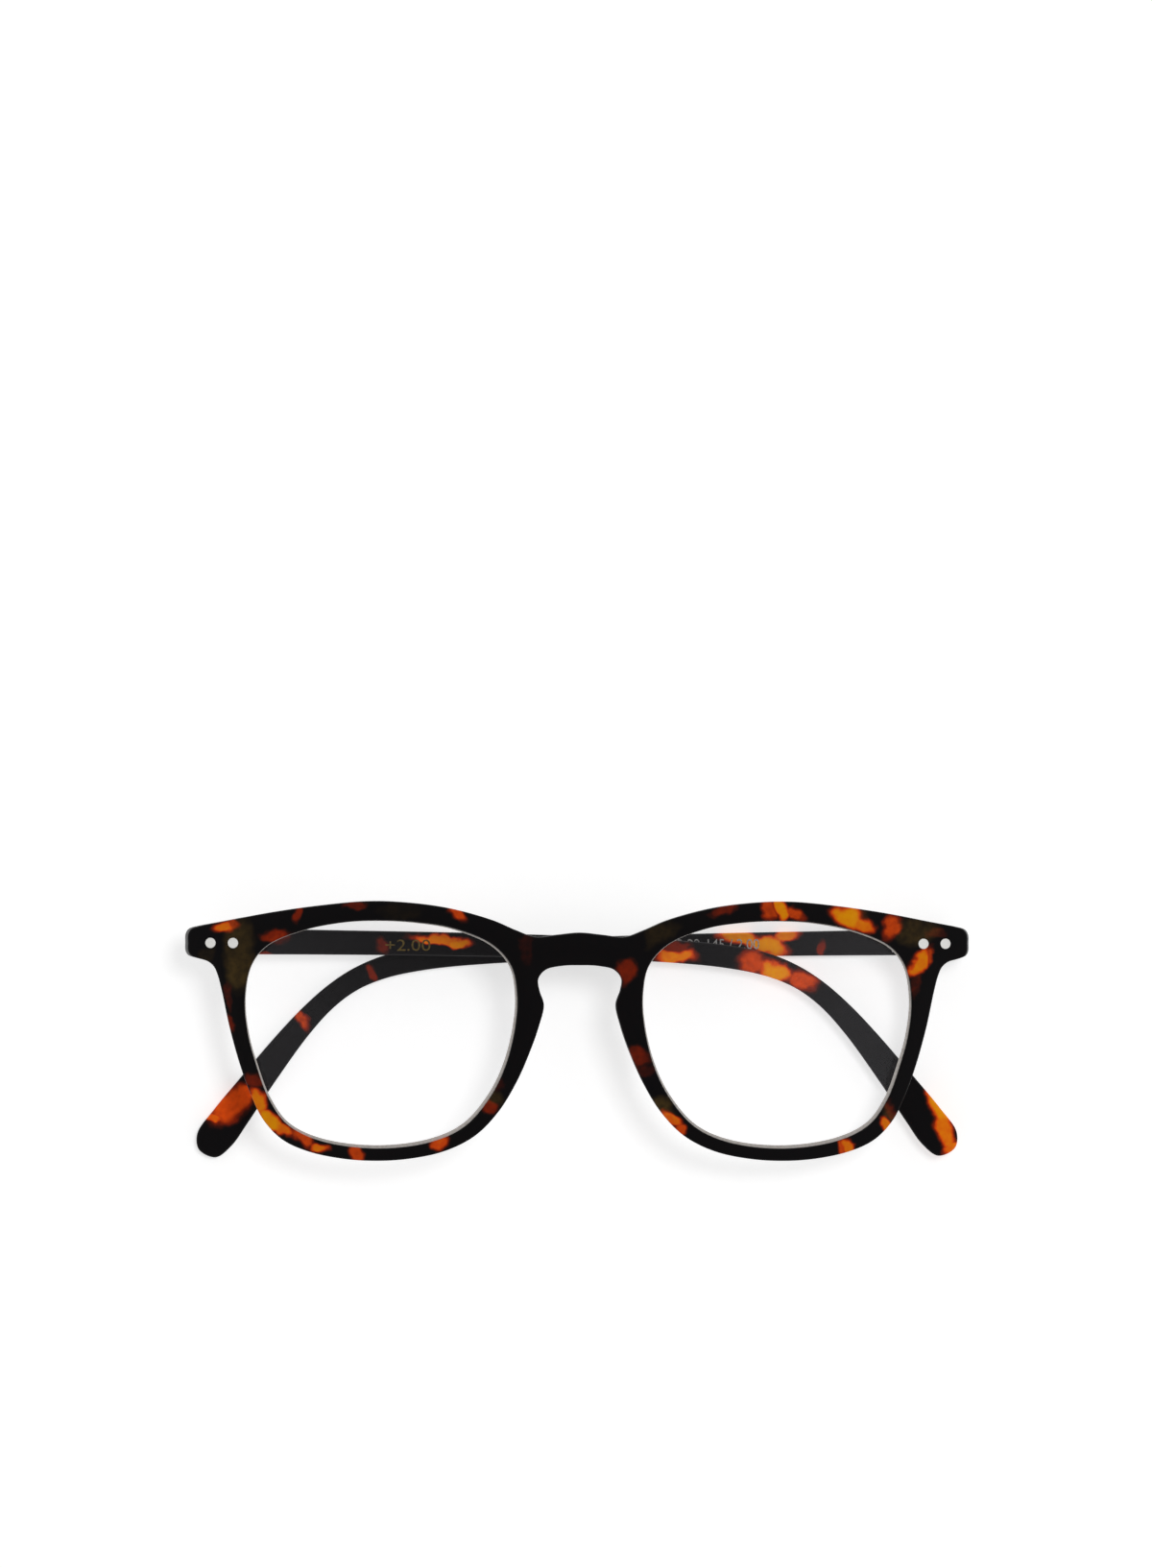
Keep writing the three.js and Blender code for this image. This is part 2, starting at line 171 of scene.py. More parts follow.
FRONT = front_home()
HINGE = {
    side: FRONT @ Matrix.Translation(Vector((x, HINGE_Y, END_FACE_Z - AXIS_BEHIND_END)) * MM)
    for side, x in (("right", -HINGE_X), ("left", HINGE_X))
}
ARM = {side: arm_home(side) for side in ("right", "left")}


# Curves -------------------------------------------------------------------------------------

def cubic(start, end, enter, leave, t):
    """Point of a cubic between two points with given end slopes."""
    rise = (2 * t ** 3 - 3 * t * t + 1) * start + (3 * t * t - 2 * t ** 3) * end
    return rise + (t ** 3 - 2 * t * t + t) * enter + (t ** 3 - t * t) * leave


def curve_through(points, step, closed):
    """Centripetal Catmull-Rom curve through the points, in pieces of about one step."""
    knots = [np.array(p, float) for p in points]
    if closed:
        padded = [knots[-1], *knots, knots[0], knots[1]]
    else:
        padded = [2 * knots[0] - knots[1], *knots, 2 * knots[-1] - knots[-2]]
    run = []
    for a, b, c, d in zip(padded, padded[1:], padded[2:], padded[3:]):
        gaps = [math.sqrt(np.linalg.norm(q - p)) for p, q in ((a, b), (b, c), (c, d))]
        enter = ((b - a) / gaps[0] - (c - a) / (gaps[0] + gaps[1]) + (c - b) / gaps[1]) * gaps[1]
        leave = ((c - b) / gaps[1] - (d - b) / (gaps[1] + gaps[2]) + (d - c) / gaps[2]) * gaps[1]
        count = max(2, math.ceil(np.linalg.norm(c - b) / step))
        run.extend(cubic(b, c, enter, leave, t) for t in np.arange(count) / count)
    if not closed:
        run.append(knots[-1])
    return np.array(run)


def area(loop):
    x, y = loop[:, 0], loop[:, 1]
    return float(np.sum(x * np.roll(y, -1) - np.roll(x, -1) * y)) / 2


def counter_clockwise(loop):
    return loop if area(loop) > 0 else loop[::-1]


def left_normals(loop):
    """Unit vectors pointing inward from a counter-clockwise loop."""
    along = np.roll(loop, -1, axis=0) - np.roll(loop, 1, axis=0)
    along /= np.linalg.norm(along, axis=1)[:, None]
    return np.stack([-along[:, 1], along[:, 0]], axis=1)


def grown(loop, distance):
    return loop - left_normals(loop) * distance


def inside(points, loop):
    """Even-odd test of many points against one loop."""
    x, y = points[:, 0][:, None], points[:, 1][:, None]
    ax, ay = loop[:, 0][None], loop[:, 1][None]
    bx, by = np.roll(ax, -1, axis=1), np.roll(ay, -1, axis=1)
    crosses = (ay > y) != (by > y)
    with np.errstate(divide="ignore", invalid="ignore"):
        at = ax + (y - ay) * (bx - ax) / (by - ay)
    return (np.sum(crosses & (x < at), axis=1) % 2) == 1


def distance_to(points, loop):
    return np.sqrt(((points[:, None, :] - loop[None]) ** 2).sum(axis=2).min(axis=1))


def smooth(low, high, value):
    t = np.clip((np.asarray(value, float) - low) / (high - low), 0, 1)
    return t * t * (3 - 2 * t)


# Meshes: a shape is a list of points in millimetres and a list of faces ----------------------

def mirrored(shape):
    points, faces = shape
    return [(-x, y, z) for x, y, z in points], [tuple(reversed(face)) for face in faces]


def as_object(shape):
    mesh = bpy.data.meshes.new("work")
    mesh.from_pydata([tuple(p) for p in shape[0]], [], [tuple(f) for f in shape[1]])
    bm = bmesh.new()
    bm.from_mesh(mesh)
    bmesh.ops.recalc_face_normals(bm, faces=bm.faces)
    bm.to_mesh(mesh)
    bm.free()
    obj = bpy.data.objects.new("work", mesh)
    bpy.context.scene.collection.objects.link(obj)
    return obj


def as_shape(obj):
    evaluated = obj.evaluated_get(bpy.context.evaluated_depsgraph_get())
    mesh = evaluated.to_mesh()
    shape = ([tuple(v.co) for v in mesh.vertices], [tuple(p.vertices) for p in mesh.polygons])
    evaluated.to_mesh_clear()
    return shape


def combined(base, changes):
    """The base shape with others joined to it ("UNION") or cut from it ("DIFFERENCE")."""
    body = as_object(base)
    tools = []
    for operation, shape in changes:
        tool = as_object(shape)
        modifier = body.modifiers.new("combine", "BOOLEAN")
        modifier.operation = operation
        modifier.object = tool
        modifier.solver = "EXACT"
        tools.append(tool)
    bpy.context.view_layer.update()
    result = as_shape(body)
    for obj in (body, *tools):
        mesh = obj.data
        bpy.data.objects.remove(obj)
        bpy.data.meshes.remove(mesh)
    return result


def round_profile(inset, radius):
    """How far a rounded edge has fallen at this distance in from the wall."""
    short = np.clip(radius - inset, 0, radius)
    return radius - np.sqrt(np.maximum(radius * radius - short * short, 0))


def plate(outer, holes, face, back, rounds, hole_rounds=INNER_ROUND, rows=(), extra=()):
    """Closed shape between the heights face(x, y, d) and back(x, y, d), d being the distance to
    the outline, inside the outer loop and outside the holes, with rounded edges. Each row gives
    (offset into the material, height function) down a hole's wall."""
    outer = counter_clockwise(outer)
    holes = [counter_clockwise(hole) for hole in holes]
    reach = max(*rounds, *(hole_rounds if holes else (0,)))
    ring_count = 5
    points, faces = [], []

    def add(xy, z):
        start = len(points)
        points.extend((float(x), float(y), float(h)) for (x, y), h in zip(xy, z))
        return start

    def band(a, b, count):
        for i in range(count):
            j = (i + 1) % count
            faces.append((a + i, a + j, b + j, b + i))

    flat, edges, face_ids, back_ids = [], [], [], []
    for index, loop in enumerate([outer, *holes]):
        inward = left_normals(loop) * (1 if index == 0 else -1)
        radii = rounds if index == 0 else hole_rounds
        count = len(loop)
        starts = {"face": [], "back": []}
        for k in range(ring_count + 1):
            inset = reach * (1 - math.cos(math.pi / 2 * k / ring_count))
            ring = loop + inward * inset
            depth = distance_to(ring, outer) if index else np.full(count, inset)
            top = face(ring[:, 0], ring[:, 1], depth) - round_profile(inset, radii[0])
            low = back(ring[:, 0], ring[:, 1], depth) + round_profile(inset, radii[1])
            starts["face"].append(add(ring, top))
            starts["back"].append(add(ring, low))
        for side in starts.values():
            for a, b in zip(side, side[1:]):
                band(a, b, count)
        wall = [starts["face"][0]]
        for offset, height in (rows if index else ()):
            shifted = loop + inward * offset
            wall.append(add(shifted, height(loop[:, 0])))
        wall.append(starts["back"][0])
        for a, b in zip(wall, wall[1:]):
            band(a, b, count)
        first = len(flat)
        flat.extend(ring)
        edges.extend((first + i, first + (i + 1) % count) for i in range(count))
        face_ids.extend(starts["face"][-1] + i for i in range(count))
        back_ids.extend(starts["back"][-1] + i for i in range(count))

    fixed = np.array(flat)
    low, high = outer.min(axis=0), outer.max(axis=0)
    xs, ys = (np.arange(low[k] + GRID_STEP / 2, high[k], GRID_STEP) for k in (0, 1))
    grid = np.array([(x, y) for x in xs for y in ys] + list(extra))
    keep = inside(grid, outer) & (distance_to(grid, fixed) > GRID_STEP * 0.55)
    keep &= distance_to(grid, outer) > reach
    for hole in holes:
        keep &= ~inside(grid, hole) & (distance_to(grid, hole) > reach)
    grid = grid[keep]
    depth = distance_to(grid, outer)
    top = add(grid, face(grid[:, 0], grid[:, 1], depth))
    low = add(grid, back(grid[:, 0], grid[:, 1], depth))
    face_ids.extend(top + i for i in range(len(grid)))
    back_ids.extend(low + i for i in range(len(grid)))
    flat = np.concatenate([fixed, grid])
    vertices, _, triangles, sources, _, _ = delaunay_2d_cdt(
        [Vector(p) for p in flat], edges, [], 0, 1e-6
    )
    middles = np.array([np.mean([vertices[i] for i in t], axis=0) for t in triangles])
    solid = inside(middles, fixed[: len(outer)])
    start = len(outer)
    for hole in holes:
        solid &= ~inside(middles, fixed[start : start + len(hole)])
        start += len(hole)
    for triangle, kept in zip(triangles, solid):
        if kept:
            ids = [sources[i][0] for i in triangle]
            faces.append(tuple(face_ids[i] for i in ids))
            faces.append(tuple(back_ids[i] for i in reversed(ids)))
    return points, faces


def lathe(profile, sides=40):
    """Shape turned about Z. The profile is (radius, z) from the axis to the axis."""
    points = [(0, 0, profile[0][1]), (0, 0, profile[-1][1])]
    rings = []
    for radius, z in profile[1:-1]:
        rings.append(len(points))
        for i in range(sides):
            angle = 2 * math.pi * i / sides
            points.append((radius * math.cos(angle), radius * math.sin(angle), z))
    faces = []
    for i in range(sides):
        j = (i + 1) % sides
        faces.append((0, rings[0] + j, rings[0] + i))
        faces.append((1, rings[-1] + i, rings[-1] + j))
        for a, b in zip(rings, rings[1:]):
            faces.append((a + i, a + j, b + j, b + i))
    return points, faces


def ring_lathe(profile, sides=40):
    """Shape turned about Z from a closed profile that stays off the axis."""
    count = len(profile)
    points = []
    for i in range(sides):
        angle = 2 * math.pi * i / sides
        points.extend((r * math.cos(angle), r * math.sin(angle), z) for r, z in profile)
    faces = []
    for i in range(sides):
        j = (i + 1) % sides
        for k in range(count):
            m = (k + 1) % count
            faces.append((i * count + k, j * count + k, j * count + m, i * count + m))
    return points, faces


def turned(shape, matrix):
    return [tuple(matrix @ Vector(p)) for p in shape[0]], shape[1]


Z_TO_X = Matrix.Rotation(math.pi / 2, 4, "Y")
Z_TO_Y = Matrix.Rotation(-math.pi / 2, 4, "X")


def rod(radius, start, end, chamfer=0.05, sides=32):
    """Round bar along Z with broken edges."""
    return lathe([(0, start), (radius - chamfer, start), (radius, start + chamfer),
                  (radius, end - chamfer), (radius - chamfer, end), (0, end)], sides)


def block(low, high, bevel=0.0):
    bm = bmesh.new()
    bmesh.ops.create_cube(bm, size=1)
    for vertex in bm.verts:
        vertex.co = [l + (h - l) * (c + 0.5) for l, h, c in zip(low, high, vertex.co)]
    if bevel:
        bmesh.ops.bevel(bm, geom=bm.edges, offset=bevel, segments=3, profile=0.5,
                        affect="EDGES", clamp_overlap=True)
    bm.verts.index_update()
    shape = ([tuple(v.co) for v in bm.verts], [tuple(v.index for v in f.verts) for f in bm.faces])
    bm.free()
    return shape


def slab_y(outline, low, high, bevel=0.08):
    """Prism of an outline in X and Z, from y = low to y = high, with broken edges."""
    bm = bmesh.new()
    ends = [[bm.verts.new((x, y, z)) for x, z in outline] for y in (low, high)]
    caps = [bm.faces.new(ring) for ring in ends]
    count = len(outline)
    for i in range(count):
        j = (i + 1) % count
        bm.faces.new((ends[0][i], ends[0][j], ends[1][j], ends[1][i]))
    bmesh.ops.recalc_face_normals(bm, faces=bm.faces)
    rims = list({edge for cap in caps for edge in cap.edges})
    bmesh.ops.bevel(bm, geom=rims, offset=bevel, segments=2, profile=0.5, affect="EDGES")
    bm.verts.index_update()
    shape = ([tuple(v.co) for v in bm.verts], [tuple(v.index for v in f.verts) for f in bm.faces])
    bm.free()
    return shape


def add_piece(name, shape, home, body, slot, material, *nodes):
    """A piece that rides on a body and, where CAD nodes are named, is shown in their place."""
    mesh = bpy.data.meshes.new(name)
    mesh.from_pydata([tuple(c * MM for c in p) for p in shape[0]], [], [tuple(f) for f in shape[1]])
    bm = bmesh.new()
    bm.from_mesh(mesh)
    bmesh.ops.remove_doubles(bm, verts=bm.verts, dist=1e-7)
    bmesh.ops.recalc_face_normals(bm, faces=bm.faces)
    bm.to_mesh(mesh)
    bm.free()
    mesh.shade_smooth()
    mesh.set_sharp_from_angle(angle=CREASE)
    mesh.materials.append(material)
    obj = bpy.data.objects.new(name, mesh)
    bpy.context.scene.collection.objects.link(obj)
    obj.matrix_world = home
    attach(obj, body)
    if nodes:
        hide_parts(*nodes)
    return obj


# Front --------------------------------------------------------------------------------------

def front_outline():
    right = [(-x, y) for x, y in reversed(HALF_FRONT[1:-1])]
    return curve_through([*HALF_FRONT, *right], RIM_STEP, True)


def lens_outline(side, growth=0.0):
    loop = counter_clockwise(curve_through(LENS_OPENING, RIM_STEP, True))
    loop = grown(loop, growth)
    return loop * (1 if side == "left" else -1, 1)


def bow(x):
    return -x * x / (2 * BOW_RADIUS)


def front_face(x, y, d):
    return bow(x) - CROWN * (1 - smooth(0, CROWN_REACH, d))


def nose_pad_height(x, y):
    """Height of the rear surface of the pad ellipsoid, or a high value beside it."""
    centre = NOSE_PAD["centre"]
    turn = Matrix.Rotation(NOSE_PAD["turn"], 3, "Z") @ Matrix.Rotation(NOSE_PAD["lean"], 3, "Y")
    inverse = np.array(turn.transposed()) / np.array(NOSE_PAD["axes"])[:, None]
    flat = np.stack([np.abs(x) - centre[0], y - centre[1], np.full(len(x), -centre[2])])
    start = inverse @ flat
    step = inverse @ np.array([0, 0, 1.0])
    a = step @ step
    b = step @ start
    c = (start * start).sum(axis=0) - 1
    room = b * b - a * c
    hit = (-b - np.sqrt(np.maximum(room, 0))) / a
    return np.where(room > 0, hit, 50.0)


def smooth_min(a, b, width):
    h = np.clip(0.5 + 0.5 * (b - a) / width, 0, 1)
    return b + (a - b) * h - width * h * (1 - h)


def front_back(x, y, d):
    rim = bow(x) - FRONT_THICKNESS
    rim = smooth_min(rim, nose_pad_height(x, y), PAD_MELT)
    across = smooth(ENDPIECE_INNER_X - FILLET / 2, ENDPIECE_INNER_X + FILLET / 2, np.abs(x))
    down = smooth(ENDPIECE_LOW_Y - FILLET, ENDPIECE_LOW_Y + FILLET / 4, y)
    return rim + (END_FACE_Z - rim) * across * down


def groove_rows():
    near = LENS_SETBACK - GAP
    far = LENS_SETBACK + LENS_THICKNESS + GAP
    deep = LENS_BITE + GAP
    return [
        (0, lambda x: bow(x) - near), (deep, lambda x: bow(x) - near - GAP),
        (deep, lambda x: bow(x) - far + GAP), (0, lambda x: bow(x) - far),
    ]


def leaned(shape):
    """The end walls lean out towards the rear."""
    points = []
    for x, y, z in shape[0]:
        share = min(max((abs(x) - END_LEAN_FROM) / 3, 0), 1)
        points.append((x + math.copysign(END_LEAN * share * (bow(x) - z), x), y, z))
    return points, shape[1]


def rivet_top(offset, side):
    """Height of a rivet's centre and the slope of the face there, on one side of the front."""
    x = (HINGE_X - offset) * (1 if side == "left" else -1)
    return x, bow(x), -x / BOW_RADIUS


def front_shape():
    steps = np.arange(-1.2, 1.2, 0.3)
    extra = [(s * (ENDPIECE_INNER_X + a), y) for s in (-1, 1) for a in steps
             for y in np.arange(9, 21, 0.5)]
    extra += [(s * x, ENDPIECE_LOW_Y + a) for s in (-1, 1) for a in steps
              for x in np.arange(58.5, 68, 0.4)]
    holes = [lens_outline(side) for side in ("right", "left")]
    shape = plate(front_outline(), holes, front_face, front_back, OUTER_ROUND,
                  rows=groove_rows(), extra=extra)
    shape = leaned(shape)
    cuts = []
    for side, sign in (("right", -1), ("left", 1)):
        xs = sorted((sign * (HINGE_X - PLATE["inner"] - GAP), sign * (HINGE_X + PLATE["outer"] + GAP)))
        half = PLATE["half"] + GAP
        pocket = END_FACE_Z + PLATE["thickness"] + GAP
        cuts.append(block((xs[0], HINGE_Y - half, END_FACE_Z - CUT), (xs[1], HINGE_Y + half, pocket)))
        for offset in RIVETS.values():
            x, top, _ = rivet_top(offset, side)
            step = top - RIVET["head_depth"] - GAP
            place = Matrix.Translation((x, HINGE_Y + RIVET["y"], 0))
            wide = RIVET["head_radius"] + 0.02
            cuts.append(turned(rod(wide, step, CUT, 0, 40), place))
            cuts.append(turned(rod(RIVET["shank_radius"] + GAP, END_FACE_Z - CUT, step + 0.2, 0, 24),
                               place))
    return combined(shape, [("DIFFERENCE", cut) for cut in cuts])


# Lenses -------------------------------------------------------------------------------------

LENS_DOME = 0.25               # how far a lens's middle stands out
DOME_REACH = 22
EDGE_WIDTH = 0.34              # mean width of the ground edge, and how much it varies around the lens
EDGE_SWING = 0.28
EDGE_WIDEST = math.radians(60)
EDGE_BITE = 0.3                # how far it reaches under the rim


def lens_shape(side):
    outer = lens_outline(side, LENS_BITE)

    def dome(d):
        return LENS_DOME * smooth(0, DOME_REACH, d)

    return plate(
        outer, [],
        lambda x, y, d: bow(x) - LENS_SETBACK - 0.05 + dome(d),
        lambda x, y, d: bow(x) - LENS_SETBACK - LENS_THICKNESS + 0.02 + dome(d),
        (0.1, 0.1),
    )


def bevel_width(angle):
    """Width of the ground edge that shows inside the rim: widest low on the +X side."""
    return EDGE_WIDTH + EDGE_SWING * math.cos(angle + EDGE_WIDEST)


def lens_bevel(side):
    """The ground edge of the lens, a thin pale ring lying on the lens inside the rim."""
    loop = counter_clockwise(lens_outline(side))
    normals = left_normals(loop)
    middle = loop.mean(axis=0)
    points, faces = [], []
    count = len(loop)
    for (x, y), (nx, ny) in zip(loop, normals):
        width = bevel_width(math.atan2(y - middle[1], x - middle[0]))
        z = bow(x) - LENS_SETBACK + 0.02
        section = [
            (-EDGE_BITE, 0.03), (width * 0.5, 0.05), (width, 0.0), (width, -0.06), (-EDGE_BITE, -0.06),
        ]
        points.extend((x + nx * inset, y + ny * inset, z + height) for inset, height in section)
    sides = len(section)
    for i in range(count):
        j = (i + 1) % count
        for k in range(sides):
            m = (k + 1) % sides
            faces.append((i * sides + k, j * sides + k, j * sides + m, i * sides + m))
    return points, faces


# Temples ------------------------------------------------------------------------------------

def temple_outline():
    ends = [(BUTT, BUTT_LOW), *TEMPLE_LOWER, *TEMPLE_TIP, *TEMPLE_UPPER, (BUTT, BUTT_HIGH)]
    run = curve_through(ends, RIM_STEP, False)
    corner = BUTT_CORNER
    run = run[(run[:, 0] > BUTT + corner) | (np.abs(run[:, 0]) > 50)]
    low, high = run[0], run[-1]
    heights = np.arange(BUTT_LOW + corner, BUTT_HIGH - corner, RIM_STEP)
    butt = [(BUTT, y) for y in heights[::-1]]
    arcs = []
    for (x, y), turn in ((high, 1), (low, -1)):
        centre = np.array([BUTT + corner, y - turn * corner])
        angles = np.linspace(90 * turn, 180 * turn, 6)[1:]
        arcs.append([(centre[0] + corner * math.cos(math.radians(a)),
                      centre[1] + corner * math.sin(math.radians(a))) for a in angles])
    loop = np.array([*run, *arcs[0], *butt[1:-1], *reversed(arcs[1])])
    return loop - (0, HINGE_Y)


def temple_inner_face(u):
    return np.interp(u, [BUTT, 14, 100, 140], [INNER_FACE, INNER_FACE, -2.2, -1.8])


def temple_shape():
    def face(x, y, d):
        return temple_inner_face(x) - 0.1 * (1 - smooth(0, 2.0, d))

    def back(x, y, d):
        return OUTER_FACE + 0.12 * (1 - smooth(0, 2.2, d))

    points, faces = plate(temple_outline(), [], face, back, TEMPLE_ROUND)
    mitred = []
    for u, y, w in points:
        near_butt = 1 - float(smooth(BUTT + 0.2, BUTT + 4, u))
        mitred.append((u + (INNER_FACE - w) * math.tan(OPEN_SPLAY) * near_butt, y, w))
    half = CASE["half"] + GAP
    relief = block((BUTT - CUT, -10, BUTT_RELIEF), (CASE["start"], 10, CUT))
    pocket = block((CASE["start"] - GAP, -half, CASE["floor"] - GAP), (CASE["end"] + GAP, half, CUT))
    return combined((mitred, faces), [("DIFFERENCE", relief), ("DIFFERENCE", pocket)])


# Hinges -------------------------------------------------------------------------------------

def rivet_shape(offset, side):
    """Rivet about the hinge axis: a head ground to the slope of the face, with a raised rim."""
    x, top, slope = rivet_top(offset, side)
    centre = top - (END_FACE_Z - AXIS_BEHIND_END)
    radius = RIVET["head_radius"]
    foot = centre - RIVET["head_depth"]
    profile = [
        (0, AXIS_BEHIND_END), (RIVET["shank_radius"] - 0.08, AXIS_BEHIND_END),
        (RIVET["shank_radius"], AXIS_BEHIND_END + 0.08), (RIVET["shank_radius"], foot),
        (radius, foot), (radius, centre - 0.05), (radius - 0.04, centre + 0.005),
        (radius - 0.14, centre + 0.01), (radius - 0.2, centre - 0.015), (0.3, centre - 0.02),
        (0, centre - 0.02),
    ]
    points, faces = lathe(profile, 48)
    sheared = [(px, py, pz + slope * px * (1 if pz > foot + 0.1 else 0)) for px, py, pz in points]
    sign = 1 if side == "left" else -1
    return [(px - sign * offset, py + RIVET["y"], pz) for px, py, pz in sheared], faces


def eye_outline(radius, reach):
    half = [(radius * math.cos(a), radius * math.sin(a)) for a in np.linspace(0, -math.pi, 20)]
    return [(radius, reach), *half, (-radius, reach)]


def front_plate_shape():
    rear = AXIS_BEHIND_END
    near = rear + PLATE["thickness"]
    half = PLATE["half"]
    base = block((-PLATE["outer"], -half, rear), (PLATE["inner"], half, near), 0.12)
    changes = []
    for low, high in ((EAR["near"], EAR["far"]), (-EAR["far"], -EAR["near"])):
        changes.append(("UNION", slab_y(eye_outline(EAR["radius"], rear + 0.3), low, high)))
    bore = turned(rod(PIN_RADIUS + GAP, -half - CUT, half + CUT, 0), Z_TO_Y)
    changes.append(("DIFFERENCE", bore))
    for offset in RIVETS.values():
        hole = rod(RIVET["shank_radius"] + GAP, rear - CUT, near + CUT, 0)
        place = Matrix.Translation((offset, RIVET["y"], 0))
        changes.append(("DIFFERENCE", turned(hole, place)))
    return combined(base, changes)


def screw_shape():
    top = EAR["far"] + 0.02
    head = PIN_HEAD["radius"]
    crown = top + PIN_HEAD["height"]
    profile = [
        (0, -EAR["far"]), (PIN_RADIUS - 0.1, -EAR["far"]), (PIN_RADIUS, -EAR["far"] + 0.1),
        (PIN_RADIUS, top), (head - 0.05, top), (head, top + 0.05), (head, crown - 0.22),
        (head - 0.08, crown - 0.1), (head - 0.25, crown - 0.03), (head - 0.55, crown), (0, crown),
    ]
    half = PIN_HEAD["slot_width"] / 2
    slot = block((-2, -half, crown - PIN_HEAD["slot_depth"]), (2, half, crown + CUT))
    return turned(combined(lathe(profile), [("DIFFERENCE", slot)]), Z_TO_Y)


def slider_shape():
    half = EAR["near"] - 0.1
    eye = turned(rod(EAR["radius"], -half, half, 0.08, 48), Z_TO_Y)
    tongue = block((0.6, -0.8, -1.3), (TONGUE_END, 0.8, -0.5), 0.06)
    bar = turned(rod(ROD["radius"], TONGUE_END - 0.4, ROD["end"], 0.08), Z_TO_X)
    bar = turned(bar, Matrix.Translation((0, 0, BORE["rod"])))
    bore = turned(rod(PIN_RADIUS + GAP, -half - CUT, half + CUT, 0), Z_TO_Y)
    return combined(eye, [("UNION", tongue), ("UNION", bar), ("DIFFERENCE", bore)])


def collar_shape():
    start, end = ROD["end"] - ROD["collar_length"], ROD["end"]
    hole, radius = ROD["radius"] + GAP, ROD["collar_radius"]
    profile = [
        (hole, start), (radius - 0.08, start), (radius, start + 0.08), (radius, end - 0.08),
        (radius - 0.08, end), (hole, end),
    ]
    return turned(ring_lathe(profile), Matrix.Translation((0, 0, BORE["rod"])) @ Z_TO_X)


def case_shape():
    half, wall = CASE["half"], CASE["wall"]
    shell = block((CASE["start"], -half, CASE["floor"]), (CASE["end"], half, CASE["top"]), 0.18)
    low, high = BORE["rod"] - BORE["half"], BORE["rod"] + BORE["half"]
    chamber = block((CASE["start"] + wall, -BORE["half"], low), (CASE["end"] + CUT, BORE["half"], high))
    hole = turned(rod(ROD["radius"] + GAP, CASE["start"] - CUT, CASE["start"] + wall + CUT, 0), Z_TO_X)
    hole = turned(hole, Matrix.Translation((0, 0, BORE["rod"])))
    return combined(shell, [("DIFFERENCE", chamber), ("DIFFERENCE", hole)])


def spring_shape():
    """Coil of even pitch, its wire closed at both ends."""
    start = CASE["start"] + CASE["wall"] + SPRING["wire"] + GAP
    end = ROD["end"] - ROD["collar_length"] - SPRING["wire"] - GAP
    turns, per_turn, sides = SPRING["turns"], 28, 10
    points, faces = [], []
    for i in range(turns * per_turn + 1):
        t = i / (turns * per_turn)
        angle = 2 * math.pi * turns * t
        radial = (math.cos(angle), math.sin(angle))
        for k in range(sides):
            phase = 2 * math.pi * k / sides
            reach = SPRING["radius"] + SPRING["wire"] * math.cos(phase)
            x = start + (end - start) * t + SPRING["wire"] * math.sin(phase)
            points.append((x, reach * radial[0], reach * radial[1] + BORE["rod"]))
    for i in range(turns * per_turn):
        for k in range(sides):
            m = (k + 1) % sides
            faces.append((i * sides + k, i * sides + m, (i + 1) * sides + m, (i + 1) * sides + k))
    last = turns * per_turn * sides
    faces.append(tuple(range(sides)))
    faces.append(tuple(last + k for k in reversed(range(sides))))
    return points, faces


# Materials ----------------------------------------------------------------------------------

class Nodes:
    """A material's node tree, with short calls for the nodes used here."""

    def __init__(self, name):
        self.material = bpy.data.materials.new(name)
        self.material.use_nodes = True
        self.tree = self.material.node_tree
        self.tree.nodes.clear()

    def new(self, kind, inputs=None, **settings):
        node = self.tree.nodes.new(kind)
        for key, value in settings.items():
            setattr(node, key, value)
        for key, value in (inputs or {}).items():
            if isinstance(value, bpy.types.NodeSocket):
                self.tree.links.new(value, node.inputs[key])
            else:
                node.inputs[key].default_value = value
        return node

    def math(self, operation, a, b=0.0, c=None, clamp=False):
        inputs = {0: a, 1: b}
        if c is not None:
            inputs[2] = c
        return self.new("ShaderNodeMath", inputs, operation=operation, use_clamp=clamp).outputs[0]

    def vector(self, operation, a, b=(0, 0, 0), scale=None):
        inputs = {0: a, 1: b}
        if scale is not None:
            inputs["Scale"] = scale
        return self.new("ShaderNodeVectorMath", inputs, operation=operation).outputs[0]

    def noise(self, vector, scale, detail):
        return self.new("ShaderNodeTexNoise", {"Vector": vector, "Scale": scale, "Detail": detail})

    def ramp(self, value, stops):
        node = self.new("ShaderNodeValToRGB", {"Fac": value})
        elements = node.color_ramp.elements
        while len(elements) < len(stops):
            elements.new(0.5)
        for element, (position, color) in zip(elements, stops):
            element.position = position
            element.color = (*color, 1)
        return node.outputs["Color"]

    def mix(self, factor, a, b, blend_type="MIX"):
        node = self.new("ShaderNodeMix", data_type="RGBA", blend_type=blend_type)
        for key, value in ((0, factor), (6, a), (7, b)):
            if isinstance(value, bpy.types.NodeSocket):
                self.tree.links.new(value, node.inputs[key])
            else:
                node.inputs[key].default_value = (*value, 1) if key else value
        return node.outputs[2]

    def bump(self, height, strength, distance):
        inputs = {"Height": height, "Strength": strength, "Distance": distance}
        return self.new("ShaderNodeBump", inputs).outputs[0]

    def finish(self, shader):
        self.new("ShaderNodeOutputMaterial", {"Surface": shader})
        return self.material

    def millimetres(self):
        coordinates = self.new("ShaderNodeTexCoord").outputs["Object"]
        return self.vector("SCALE", coordinates, scale=1 / MM)


